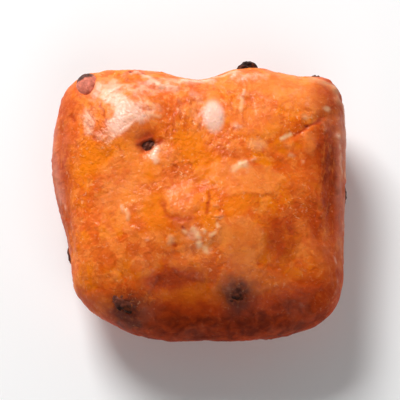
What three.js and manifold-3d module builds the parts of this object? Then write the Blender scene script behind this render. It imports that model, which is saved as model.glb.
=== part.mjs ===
// A glazed raisin doughnut: a square pillow of fried yeast dough, with raisins set in its skin.
// Millimetres, +Z up. It lies on its flat underside, and the origin is on that plane, under the
// middle of the bounding box. +X is the doughnut's right and +Y its far edge.
// The solids are worked out about the waist's centre and then moved to that origin together.
import * as THREE from "three";
import { mergeVertices } from "three/addons/utils/BufferGeometryUtils.js";
import Module from "manifold-3d";

// ---- Driving dimensions, in millimetres ----
const FACE_WIDTH = 89.4; // left to right, at the waist
const FACE_DEPTH = 84.6; // near edge to far edge, at the waist
const CROWN_RISE = 20; // from the waist up to the crown
const BELLY_DROP = 19.6; // from the waist down to where the belly would end if it were not flattened
const UNDERSIDE_DROP = 17; // from the waist down to the flat underside
const POCKET_GAP = 0.5; // between a raisin and its pocket

// ---- Roundness of the pillow: 2 is an ellipse, and more is squarer ----
// The middle's value, and what the far edge adds and the near edge loses.
const PLAN_SQUARENESS = { middle: 4.3, far: 2.0 };
const PROFILE_SQUARENESS = { middle: 2.35, far: 0.4 };
const SQUARENESS_TURN = 1.6; // how soon it changes away from the middle

// ---- Fineness of the facets ----
const FACE_CELLS_X = 30;
const FACE_CELLS_Y = 29;
const WALL_CELLS = 12;
const RAISIN_DETAIL = 3;
const POCKET_DETAIL = 2;

const HALF_WIDTH = FACE_WIDTH / 2;
const HALF_DEPTH = FACE_DEPTH / 2;

// Swells and dents of the dough: a point near the skin, how far the skin stands out, and over what radius.
const SWELLS = [
  { at: [-46, -18, 0], out: -4.9, radius: 14 }, // hollow in the left wall
  { at: [-37, -38, 0], out: 0.2, radius: 12 }, // corners, from the near left round to the far right
  { at: [41, -37, 0], out: 6.2, radius: 13 },
  { at: [-41, 38, 4], out: 0.4, radius: 10 },
  { at: [41, 38, 5], out: 2.4, radius: 9 },
  { at: [16, -43, -2], out: 2.1, radius: 16 }, // belly of the near wall
  { at: [-14, -43, -2], out: 2.2, radius: 12 },
  { at: [-45, 12, 0], out: 1.1, radius: 12 },
  { at: [-22, 21, 18], out: 1.7, radius: 12 }, // broad swells of the face
  { at: [13, -13, 20], out: 1.3, radius: 12 },
  { at: [-19, -16, 19], out: 0.9, radius: 11 },
  { at: [-15.5, 12.4, 19.3], out: -1.8, radius: 5 }, // pucker round the sunken raisin
  { at: [25, 6, 18], out: -1.3, radius: 8 }, // hollow at the right of the face
  { at: [-4, -1, 20], out: -1.0, radius: 8 },
  { at: [-1, 42, 8], out: -3.4, radius: 9 }, // dip in the far rim
  { at: [17, 41, 10], out: 1.8, radius: 8 }, // far rim round its raisin
  { at: [32, 41, 6], out: -0.4, radius: 7 },
  { at: [-20.5, -38, 9], out: 1.4, radius: 8 }, // near edge over its raisins
  { at: [26, -37, 5], out: 1.1, radius: 9 },
  { at: [4.1, 21.5, 19.5], out: 0.8, radius: 3.8 }, // smooth blister under the glaze
  { at: [-20.5, 37.3, 13], out: 0.7, radius: 2.8 }, // puckered fold in the far rim
  { at: [-14.7, 34.2, 15], out: 0.5, radius: 2.8 },
];

// Creases in the skin: from, to, depth and half width.
const CREASES = [
  { from: [-10, 38.5, 14.5], to: [6, 39.5, 14], depth: 1.1, width: 1.7 }, // along the far rim
  { from: [27, 15.5, 18], to: [37, 23, 13.5], depth: 0.4, width: 1.6 }, // across the far right shoulder
  { from: [40, 24, 11], to: [41, -24, 11], depth: 0.8, width: 2.8 }, // down the right shoulder
  { from: [-42.5, 20, 8], to: [-41, -24, 8], depth: 0.6, width: 2.4 }, // down the left shoulder
  { from: [-8, -24, 18.5], to: [6, -20, 19.5], depth: 0.7, width: 2.0 },
  { from: [-30, -4, 18], to: [-26, -16, 18], depth: 0.5, width: 2.6 },
];

// Long waves that keep the pillow from being even: direction and wavelength together, phase, height.
const WAVES = [
  { across: [44, 18, 30], phase: 0.6, height: 0.45 },
  { across: [-26, 40, 24], phase: 2.1, height: 0.4 },
  { across: [19, -15, 17], phase: 4.0, height: 0.22 },
  { across: [12, 13, -14], phase: 1.2, height: 0.16 },
];

// Raisins: where each lies, seen from the waist's centre; its length, width and thickness; how far
// its centre is below the skin; and how far it is turned in the skin, in degrees.
const RAISINS = [
  { name: "raisin_face", toward: [-15.5, 12, 19], size: [9, 7, 6], sunk: 2.7, turn: 5 },
  { name: "raisin_far_left", toward: [-34.8, 35.4, 11], size: [10.5, 7.5, 6.5], sunk: 1.6, turn: 70 },
  { name: "raisin_far_rim", toward: [14.8, 41.5, 7.5], size: [7, 5.5, 6], sunk: 1.0, turn: 5 },
  { name: "raisin_far_right", toward: [36.8, 38.8, 3.5], size: [9, 6, 5.5], sunk: 2.2, turn: -20 },
  { name: "raisin_near_left", toward: [-23, -37.6, 9.2], size: [12, 8, 6], sunk: 2.5, turn: -12 },
  { name: "raisin_near_right", toward: [11.8, -34.8, 13], size: [10, 9, 6], sunk: 2.6, turn: 30 },
  { name: "raisin_left_high", toward: [-43, 19, -5], size: [9, 6, 5.5], sunk: 2.0, turn: 80 },
  { name: "raisin_left_low", toward: [-43.5, -15, -9], size: [11, 7, 6], sunk: 2.3, turn: 15 },
  { name: "raisin_right_high", toward: [43, 3, -2], size: [11, 7.5, 6], sunk: 2.0, turn: 65 },
  { name: "raisin_right_low", toward: [42, -25, -6], size: [9.5, 7, 6], sunk: 2.3, turn: -30 },
  { name: "raisin_far_low", toward: [-14, 42, -6], size: [11, 7, 6], sunk: 2.0, turn: 12 },
  { name: "raisin_near_low", toward: [24, -41, -4], size: [10.5, 7, 6], sunk: 2.3, turn: -10 },
  { name: "raisin_under_left", toward: [-31, 12, -16], size: [10, 7.5, 6], sunk: 2.6, turn: 40 },
  { name: "raisin_under_right", toward: [30, 20, -16], size: [11, 7, 6], sunk: 2.6, turn: -55 },
];

const wasm = await Module();
wasm.setup();

// A closed geometry as a manifold-3d solid.
function toSolid(geometry) {
  const bare = new THREE.BufferGeometry();
  bare.setAttribute("position", geometry.getAttribute("position").clone());
  if (geometry.index) bare.setIndex(geometry.index.clone());
  const merged = mergeVertices(bare, 1e-4);
  return new wasm.Manifold(
    new wasm.Mesh({
      numProp: 3,
      vertProperties: new Float32Array(merged.attributes.position.array),
      triVerts: new Uint32Array(merged.index.array),
    }),
  );
}

// A manifold-3d solid as a geometry.
function toGeometry(solid) {
  const { numProp, numVert, vertProperties, triVerts } = solid.getMesh();
  const positions = new Float32Array(numVert * 3);
  for (let i = 0; i < numVert; i++) {
    positions.set(vertProperties.subarray(i * numProp, i * numProp + 3), i * 3);
  }
  const geometry = new THREE.BufferGeometry();
  geometry.setAttribute("position", new THREE.BufferAttribute(positions, 3));
  geometry.setIndex(new THREE.BufferAttribute(triVerts, 1));
  geometry.computeVertexNormals();
  return geometry;
}

// The half axes of the pillow on the side of z that a direction points to.
function halfAxes(z) {
  return new THREE.Vector3(HALF_WIDTH, HALF_DEPTH, z < 0 ? BELLY_DROP : CROWN_RISE);
}

// Where a direction from the waist's centre leaves the plain pillow, and the outward normal there.
// With u, v and w for the direction over the half axes, the pillow is the surface where
// (|u|^n + |v|^n)^(m/n) + |w|^m = 1, for the plan's squareness n and the profile's m. Both grow
// from the near edge, which is the rounder one, to the far edge, by the tangent curve tanh.
function plainPillow(direction) {
  const axes = halfAxes(direction.z);
  const u = direction.clone().divide(axes);
  const farness = Math.tanh((SQUARENESS_TURN * u.y) / u.length());
  const n = PLAN_SQUARENESS.middle + PLAN_SQUARENESS.far * farness;
  const m = PROFILE_SQUARENESS.middle + PROFILE_SQUARENESS.far * farness;
  const plan = Math.max((Math.abs(u.x) ** n + Math.abs(u.y) ** n) ** (1 / n), 1e-6);
  const reach = (plan ** m + Math.abs(u.z) ** m) ** (1 / m);
  const normal = new THREE.Vector3(
    Math.sign(u.x) * Math.abs(u.x) ** (n - 1) * plan ** (m - n),
    Math.sign(u.y) * Math.abs(u.y) ** (n - 1) * plan ** (m - n),
    Math.sign(u.z) * Math.abs(u.z) ** (m - 1),
  );
  return {
    point: direction.clone().divideScalar(reach),
    normal: normal.divide(axes).normalize(),
  };
}

// How far the skin stands out from the plain pillow at a point on it.
function relief(point) {
  let out = 0;
  for (const { at, out: height, radius } of SWELLS) {
    const distance = point.distanceTo(new THREE.Vector3(...at));
    out += height * Math.exp(-((distance / radius) ** 2));
  }
  for (const { from, to, depth, width } of CREASES) {
    const line = new THREE.Line3(new THREE.Vector3(...from), new THREE.Vector3(...to));
    const nearest = line.closestPointToPoint(point, true, new THREE.Vector3());
    out -= depth * Math.exp(-((point.distanceTo(nearest) / width) ** 2));
  }
  for (const { across, phase, height } of WAVES) {
    const wave = new THREE.Vector3(...across);
    out += height * Math.sin((2 * Math.PI * point.dot(wave)) / wave.lengthSq() + phase);
  }
  return out;
}

// The skin of the dough in a direction from the waist's centre: the point and the outward normal.
function skin(direction) {
  const { point, normal } = plainPillow(direction);
  return { point: point.addScaledVector(normal, relief(point)), normal };
}

// The whole pillow of dough, before its underside is flattened and its pockets are cut. Each point
// of a gridded cube is carried out to the skin in its own direction.
function pillowSolid() {
  const cube = new THREE.BoxGeometry(2, 2, 2, FACE_CELLS_X, FACE_CELLS_Y, WALL_CELLS);
  const positions = cube.getAttribute("position");
  for (let i = 0; i < positions.count; i++) {
    const corner = new THREE.Vector3().fromBufferAttribute(positions, i);
    const { point } = skin(corner.multiply(halfAxes(corner.z)));
    positions.setXYZ(i, point.x, point.y, point.z);
  }
  return toSolid(cube);
}

// A block under the flat underside, to cut the belly off.
function belowUnderside() {
  const block = new THREE.BoxGeometry(2 * FACE_WIDTH, 2 * FACE_DEPTH, BELLY_DROP);
  block.translate(0, 0, -UNDERSIDE_DROP - BELLY_DROP / 2);
  return toSolid(block);
}

// A raisin's shape about its own centre, grown by a gap: a flattened ball with wrinkles that run
// lengthwise and wander. Each raisin's number shifts the wrinkles, so that no two are alike.
function raisinGeometry(size, number, detail, gap) {
  const ball = new THREE.IcosahedronGeometry(1, detail);
  ball.deleteAttribute("normal");
  ball.deleteAttribute("uv");
  const positions = ball.getAttribute("position");
  for (let i = 0; i < positions.count; i++) {
    const way = new THREE.Vector3().fromBufferAttribute(positions, i);
    const round = Math.atan2(way.z, way.y) + 0.7 * Math.sin(2.2 * way.x + number);
    const girth = Math.sqrt(1 - Math.min(way.x ** 2, 1));
    const deepFolds = Math.abs(Math.sin(3.5 * round + number));
    const broadFolds = 0.5 * Math.sin(2 * round - 2 * way.x + 2 * number);
    const shrink = 1 - 0.13 * girth * (1 - deepFolds - broadFolds);
    way.multiplyScalar(shrink);
    positions.setXYZ(
      i,
      way.x * (size[0] / 2 + gap),
      way.y * (size[1] / 2 + gap),
      way.z * (size[2] / 2 + gap),
    );
  }
  return mergeVertices(ball, 1e-3);
}

// A raisin's place: its thickness along the skin's normal, its length turned in the skin.
function raisinPlace({ toward, sunk, turn }) {
  const { point, normal } = skin(new THREE.Vector3(...toward));
  const steep = Math.abs(normal.z) > 0.8;
  const level = steep ? new THREE.Vector3(1, 0, 0) : new THREE.Vector3(0, 0, 1).cross(normal);
  const length = level.projectOnPlane(normal).normalize();
  length.applyAxisAngle(normal, THREE.MathUtils.degToRad(turn));
  const width = new THREE.Vector3().crossVectors(normal, length);
  return new THREE.Matrix4()
    .makeBasis(length, width, normal)
    .setPosition(point.addScaledVector(normal, -sunk));
}

const doughMaterial = new THREE.MeshStandardMaterial({ color: 0xd8702c, roughness: 0.32, metalness: 0 });
const raisinMaterial = new THREE.MeshStandardMaterial({ color: 0x3a1610, roughness: 0.45, metalness: 0 });

// One raisin as a named mesh, placed in the dough.
function makeRaisin(raisin, number) {
  const mesh = new THREE.Mesh(raisinGeometry(raisin.size, number, RAISIN_DETAIL, 0), raisinMaterial);
  mesh.name = raisin.name;
  mesh.applyMatrix4(raisinPlace(raisin));
  return mesh;
}

// The dough: the pillow with its underside cut flat and a pocket for each raisin.
function makeDough() {
  let dough = pillowSolid().subtract(belowUnderside());
  RAISINS.forEach((raisin, number) => {
    const pocket = raisinGeometry(raisin.size, number, POCKET_DETAIL, POCKET_GAP);
    pocket.applyMatrix4(raisinPlace(raisin));
    dough = dough.subtract(toSolid(pocket));
  });
  const mesh = new THREE.Mesh(toGeometry(dough), doughMaterial);
  mesh.name = "dough";
  return mesh;
}

// Moves the whole doughnut so that the origin is under the middle of its bounding box.
function standOnOrigin(group) {
  const box = new THREE.Box3().setFromObject(group, true);
  const middle = box.getCenter(new THREE.Vector3());
  group.position.set(-middle.x, -middle.y, -box.min.z);
}

const doughnut = new THREE.Group();
doughnut.add(makeDough());
doughnut.add(...RAISINS.map(makeRaisin));
standOnOrigin(doughnut);

export default doughnut;
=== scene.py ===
"""The looks of a glazed raisin doughnut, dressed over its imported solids.

The doughnut is a square pillow of fried yeast dough that lies on its flat underside. Its skin is
worked out with numpy as one closed surface, with the swells, creases, blisters and glaze that the
real one shows, and wrinkled raisins sit in pockets of that skin. Shapes are worked out in
millimetres about the centre of the dough's waist, and written to the meshes in metres, in the
frame of the solids.
"""

import logging
import math
from dataclasses import dataclass, field
from enum import Enum, IntEnum
from functools import reduce
from typing import ClassVar

import bpy
import numpy as np
from mathutils import Matrix, Vector


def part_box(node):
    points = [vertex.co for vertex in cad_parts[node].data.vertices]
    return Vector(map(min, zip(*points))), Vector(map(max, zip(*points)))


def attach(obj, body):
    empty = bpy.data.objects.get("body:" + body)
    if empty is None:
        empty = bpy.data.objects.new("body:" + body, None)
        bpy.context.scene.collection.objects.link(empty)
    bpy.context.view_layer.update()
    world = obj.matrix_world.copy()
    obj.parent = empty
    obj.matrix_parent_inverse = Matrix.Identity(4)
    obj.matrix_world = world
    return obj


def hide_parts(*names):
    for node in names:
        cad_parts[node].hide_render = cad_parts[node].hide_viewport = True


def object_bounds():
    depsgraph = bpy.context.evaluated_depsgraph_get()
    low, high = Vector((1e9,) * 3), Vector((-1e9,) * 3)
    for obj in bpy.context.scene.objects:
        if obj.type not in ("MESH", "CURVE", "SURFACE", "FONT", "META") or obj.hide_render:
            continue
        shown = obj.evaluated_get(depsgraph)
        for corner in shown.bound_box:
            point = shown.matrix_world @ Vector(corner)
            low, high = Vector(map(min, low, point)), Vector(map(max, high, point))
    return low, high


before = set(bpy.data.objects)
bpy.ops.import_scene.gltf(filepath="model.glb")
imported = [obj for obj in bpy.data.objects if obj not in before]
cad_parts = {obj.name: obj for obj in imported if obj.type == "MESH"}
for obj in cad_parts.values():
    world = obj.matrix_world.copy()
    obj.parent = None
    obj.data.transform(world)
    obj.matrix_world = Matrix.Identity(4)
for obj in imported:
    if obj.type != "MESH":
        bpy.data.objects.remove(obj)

SOLID_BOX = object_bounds()

LOG = logging.getLogger("raisin_doughnut")
MM = 0.001

Array = np.ndarray
Pair = tuple[float, float]
Triple = tuple[float, float, float]
Socket = bpy.types.NodeSocket
Sockets = dict["Tone", Socket]


# ---- Noise ----


class Seed(IntEnum):
    """The seed of each random draw. A raisin adds its number to the last one."""

    POCKETS = 3
    WRINKLES = 7
    TONES = 19
    RAGGED = 29
    BLISTERS = 41
    STROKES = 53
    RAISINS = 300


class GradientNoise:
    """Smooth random relief in space, from seeded gradients on a lattice of unit cells."""

    TABLE = 256
    GAIN = 1.5
    LAYER_SHIFT = 17.3
    RIDGE_SHARPNESS = 3.2
    AXIS_SHIFTS = (0.0, 61.0, 127.0)

    def __init__(self, seed: int) -> None:
        """Draw the lattice's gradients.

        Args:
            seed: Number that picks this noise from all others.
        """
        draw = np.random.default_rng(seed)
        self.order = np.tile(draw.permutation(self.TABLE), 3)
        ways = draw.normal(size=(self.TABLE, 3))
        self.ways = ways / np.linalg.norm(ways, axis=1, keepdims=True)

    def at(self, points: Array, size: float | Triple) -> Array:
        """Noise of one grain size, from about -1 to 1.

        Each of the eight corners of a point's cell gives the dot product of its gradient with
        the way from the corner to the point. They are mixed by the fade 6t^5 - 15t^4 + 10t^3.

        Args:
            points: Places, one a row.
            size: Width of a cell, or its widths along X, Y and Z.

        Returns:
            One value a point.
        """
        scaled = points / np.asarray(size, float)
        cell = np.floor(scaled).astype(np.int64)
        part = scaled - cell
        fade = part**3 * (part * (part * 6 - 15) + 10)
        total = np.zeros(len(points))
        for corner in np.ndindex(2, 2, 2):
            x, y, z = ((cell + corner) % self.TABLE).T
            ways = self.ways[self.order[self.order[self.order[x] + y] + z]]
            dots = np.einsum("ij,ij->i", ways, part - corner)
            share = np.where(np.array(corner) == 1, fade, 1 - fade).prod(axis=1)
            total += share * dots
        return total * self.GAIN

    def layered(self, points: Array, size: float | Triple, layers: int, fall: float = 0.5) -> Array:
        """Sum of noises, each half the grain and `fall` times the height of the one before.

        Args:
            points: Places, one a row.
            size: Width of the first noise's cell.
            layers: How many noises.
            fall: Height of each noise over the one before.

        Returns:
            One value a point, from about -1 to 1.
        """
        size = np.asarray(size, float)
        heights = fall ** np.arange(layers)
        total = sum(h * self.at(points + self.LAYER_SHIFT * k, size / 2**k) for k, h in enumerate(heights))
        return total / heights.sum()

    def ridged(self, points: Array, size: float | Triple, layers: int = 2) -> Array:
        """Sharp creases where layered noise crosses zero: 1 on a crease, falling to 0.

        Args:
            points: Places, one a row.
            size: Width of the first noise's cell.
            layers: How many noises.

        Returns:
            One value a point, from 0 to 1.
        """
        return np.clip(1 - np.abs(self.layered(points, size, layers)) * self.RIDGE_SHARPNESS, 0, 1)

    def moved(self, points: Array, size: float, reach: float) -> Array:
        """The points, each moved by up to about `reach`, so that what is drawn on them wavers."""
        steps = [self.layered(points + shift, size, 2) for shift in self.AXIS_SHIFTS]
        return points + reach * np.stack(steps, axis=1)


def smooth_step(low: float, high: float, values: Array) -> Array:
    """The cubic 3t^2 - 2t^3 from 0 at low to 1 at high, in either direction."""
    t = np.clip((values - low) / (high - low), 0, 1)
    return t * t * (3 - 2 * t)


def line_distance(points: Array, start: Triple, end: Triple) -> Array:
    """Distance from each point to the nearest point of the straight line from start to end."""
    first, way = np.array(start, float), np.array(end, float) - np.array(start, float)
    along = np.clip((points - first) @ way / max(way @ way, 1e-9), 0, 1)
    return np.linalg.norm(points - first - along[:, None] * way, axis=1)


# ---- The shape of the dough, shared by the skin and the raisins ----


@dataclass(frozen=True)
class Swell:
    """A swell or dent: a bell of height `out` about a point near the skin, or round a ring."""

    at: Triple
    out: float
    radius: float
    ring: float = 0.0

    def height(self, points: Array) -> Array:
        """out * exp(-((distance - ring) / radius)^2)."""
        distance = np.linalg.norm(points - np.array(self.at), axis=1) - self.ring
        return self.out * np.exp(-((distance / self.radius) ** 2))


@dataclass(frozen=True)
class Crease:
    """A groove along a straight line near the skin, or a ridge where its depth is negative."""

    start: Triple
    end: Triple
    depth: float
    width: float

    def height(self, points: Array) -> Array:
        """-depth * exp(-(distance / width)^2)."""
        distance = line_distance(points, self.start, self.end)
        return -self.depth * np.exp(-((distance / self.width) ** 2))


@dataclass(frozen=True)
class Wave:
    """A long wave through the dough, whose vector `across` is its direction and its length."""

    across: Triple
    phase: float
    rise: float

    def height(self, points: Array) -> Array:
        """rise * sin(2 pi (point . across) / |across|^2 + phase)."""
        across = np.array(self.across)
        return self.rise * np.sin(2 * np.pi * points @ across / (across @ across) + self.phase)


@dataclass(frozen=True)
class Pillow:
    """The dough's form: a squared pillow with swells, creases and long waves.

    Sizes are in millimetres, about the centre of the waist.
    """

    face_width: float = 89.4
    face_depth: float = 84.6
    crown_rise: float = 20.0
    belly_drop: float = 19.6
    underside_drop: float = 17.0
    plan_squareness: Pair = (4.3, 2.0)
    profile_squareness: Pair = (2.35, 0.4)
    squareness_turn: float = 1.6
    swells: tuple[Swell, ...] = (
        Swell((-46, -18, 0), -4.9, 14),
        Swell((-37, -38, 0), 0.2, 12),
        Swell((41, -37, 0), 6.2, 13),
        Swell((16, -43, -2), 2.1, 16),
        Swell((-14, -43, -2), 2.2, 12),
        Swell((-41, 38, 4), 0.4, 10),
        Swell((41, 38, 5), 2.4, 9),
        Swell((-45, 12, 0), 1.1, 12),
        Swell((-22, 21, 18), 1.7, 12),
        Swell((13, -13, 20), 1.3, 12),
        Swell((-19, -16, 19), 0.9, 11),
        Swell((-15.5, 12.4, 19.3), -1.8, 5.0),
        Swell((25, 6, 18), -1.3, 8),
        Swell((-4, -1, 20), -1.0, 8),
        Swell((-1, 42, 8), -3.4, 9),
        Swell((17, 41, 10), 1.8, 8),
        Swell((32, 41, 6), -0.4, 7),
        Swell((-20.5, -38, 9), 1.4, 8),
        Swell((26, -37, 5), 1.1, 9),
        Swell((4.1, 21.5, 19.5), 0.8, 3.8),
        Swell((-20.5, 37.3, 13), 0.7, 2.8),
        Swell((-14.7, 34.2, 15), 0.5, 2.8),
    )
    creases: tuple[Crease, ...] = (
        Crease((-10, 38.5, 14.5), (6, 39.5, 14), 1.1, 1.7),
        Crease((27, 15.5, 18), (37, 23, 13.5), 0.4, 1.6),
        Crease((40, 24, 11), (41, -24, 11), 0.8, 2.8),
        Crease((-42.5, 20, 8), (-41, -24, 8), 0.6, 2.4),
        Crease((-8, -24, 18.5), (6, -20, 19.5), 0.7, 2.0),
        Crease((-30, -4, 18), (-26, -16, 18), 0.5, 2.6),
    )
    waves: tuple[Wave, ...] = (
        Wave((44, 18, 30), 0.6, 0.45),
        Wave((-26, 40, 24), 2.1, 0.4),
        Wave((19, -15, 17), 4.0, 0.22),
        Wave((12, 13, -14), 1.2, 0.16),
    )

    def half_axes(self, heights: Array) -> Array:
        """The pillow's three half axes, for directions that point up or down."""
        rise = np.where(heights < 0, self.belly_drop, self.crown_rise)
        flat = np.ones_like(rise)
        return np.stack([flat * self.face_width / 2, flat * self.face_depth / 2, rise], axis=1)

    def plain(self, directions: Array) -> tuple[Array, Array]:
        """Where directions from the centre leave the plain pillow.

        With u, v and w for a direction over the half axes, the pillow is the surface
        (|u|^n + |v|^n)^(m/n) + |w|^m = 1. The squareness n of the plan and m of the profile
        both grow from the near edge to the far edge, by the tangent curve tanh.

        Args:
            directions: Ways from the centre, one a row, of any length.

        Returns:
            Points on the pillow and its outward unit normals there.
        """
        axes = self.half_axes(directions[:, 2])
        unit = directions / axes
        size = np.abs(unit)
        farness = np.tanh(self.squareness_turn * unit[:, 1] / np.linalg.norm(unit, axis=1))
        n = self.plan_squareness[0] + self.plan_squareness[1] * farness
        m = self.profile_squareness[0] + self.profile_squareness[1] * farness
        plan = np.maximum((size[:, 0] ** n + size[:, 1] ** n) ** (1 / n), 1e-6)
        reach = (plan**m + size[:, 2] ** m) ** (1 / m)
        level = size[:, :2] ** (n - 1)[:, None] * (plan ** (m - n))[:, None]
        slopes = np.concatenate([level, size[:, 2:] ** (m - 1)[:, None]], axis=1)
        normals = np.sign(unit) * slopes / axes
        return directions / reach[:, None], normals / np.linalg.norm(normals, axis=1, keepdims=True)

    def relief(self, points: Array) -> Array:
        """How far the skin stands out from the plain pillow: its swells, creases and waves."""
        return sum(form.height(points) for form in (*self.swells, *self.creases, *self.waves))

    def skin(self, directions: Array) -> tuple[Array, Array]:
        """The skin in some directions, before any fine detail: points and outward normals."""
        points, normals = self.plain(directions)
        return points + normals * self.relief(points)[:, None], normals


# ---- Glaze and colour on the skin ----


class Tone(Enum):
    """What a place on the skin shows.

    Film is smooth clear glaze. Milk, cream and cloud are thick glaze in three tints, and also carry
    painted highlights and sheen: milk and cloud the painted highlight patch on the far left of the face,
    milk painted sheen along the far rim and painted highlight lines down the walls, cream painted
    highlights on small ridges and bumps, and cloud painted sheen on the blister and down the walls. Deep
    is golden and salmon pinkish. Toast is browned, and is also painted shade towards the near edge, the
    sides and the walls and round the face's pit, and a painted shadow on the right of the face. Under is
    dark, as over a raisin, and is also painted shade in the face's pit and down the right wall. Grain is
    pebbled.
    Streak and flow are glaze drawn out in strokes, slanting or down the face.
    """

    FILM = "film"
    MILK_AND_SHEEN = "milk_and_sheen"
    CREAM_AND_HIGHLIGHT = "cream_and_highlight"
    DEEP = "deep"
    SALMON = "salmon"
    TOAST_AND_SHADE = "toast_and_shade"
    UNDER_AND_SHADE = "under"
    GRAIN = "grain"
    STREAK = "streak"
    FLOW = "flow"
    CLOUD_AND_SHEEN = "cloud_and_sheen"


STROKE_TURNS = {Tone.STREAK: -52, Tone.FLOW: 86}  # degrees, seen from above


def upper_side(points: Array) -> Array:
    """1 on the upper side, falling to 0 just below the waist."""
    return smooth_step(-6, 2, points[:, 2])


@dataclass(frozen=True)
class Patch:
    """A patch of the face in one tone: an ellipse seen from above, with a sharp or soft edge.

    `turn` is in degrees and `rise` is the height of a dome over the ellipse, in millimetres.
    """

    tone: Tone
    at: Pair
    size: Pair
    turn: float
    amount: float
    edge: float = 0.35
    rise: float = 0.0

    def reach(self, points: Array) -> Array:
        """0 in the middle of the ellipse and 1 on its edge."""
        angle = math.radians(self.turn)
        x, y = points[:, 0] - self.at[0], points[:, 1] - self.at[1]
        u = (x * math.cos(angle) + y * math.sin(angle)) / self.size[0]
        v = (y * math.cos(angle) - x * math.sin(angle)) / self.size[1]
        return np.hypot(u, v)

    def share(self, points: Array) -> Array:
        """amount, falling to 0 over the ellipse's edge, on the upper side only."""
        inside = smooth_step(1 + self.edge, 1 - self.edge, self.reach(points))
        return self.amount * inside * upper_side(points)

    def height(self, points: Array) -> Array:
        """rise times a smooth step from reach 1.15 down to 0.55, on the upper side only."""
        return self.rise * smooth_step(1.15, 0.55, self.reach(points)) * upper_side(points)


@dataclass(frozen=True)
class Deposit:
    """A bead, blob or stroke of thick glaze in one tone, or a crack where its rise is negative.

    It lies along a line near the skin, or, where only X and Y are given, along a line that is
    seen from above.
    """

    tone: Tone
    start: Pair | Triple
    end: Pair | Triple
    width: float
    rise: float
    amount: float = 1.0
    out_of_reach: ClassVar[float] = 9.0

    def reach(self, points: Array) -> Array:
        """Distance from the line over the width; out of reach below the waist if seen from above."""
        seen = len(self.start) == 2
        distance = line_distance(points[:, : len(self.start)], self.start, self.end) / self.width
        return np.where(seen & (points[:, 2] < 0), self.out_of_reach, distance)

    def height(self, points: Array) -> Array:
        """rise * exp(-(1.2 reach)^2)."""
        return self.rise * np.exp(-((1.2 * self.reach(points)) ** 2))

    def share(self, points: Array) -> Array:
        """amount, falling softly to 0 past the bead's width."""
        return self.amount * smooth_step(1.5, -0.1, self.reach(points))


# Thin rings that stand up in the glaze.
RINGS: tuple[Swell, ...] = (
    Swell((11.4, 27.3, 18.4), 0.28, 0.55, 2.0),
    Swell((11.4, 27.3, 18.4), 0.22, 0.55, 3.6),
    Swell((18.2, 26.4, 18.0), 0.22, 0.5, 1.9),
    Swell((31.9, 21.8, 15.5), 0.18, 0.5, 1.8),
    Swell((-21.0, 37.0, 14.0), 0.3, 0.6, 2.0),
)

# The pale blister of glaze below the far rim, its pale colour partly a painted highlight.
BLISTER = Patch(Tone.CLOUD_AND_SHEEN, (4.1, 21.5), (3.0, 5.3), 3, 0.95, 0.34, 0.35)
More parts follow.
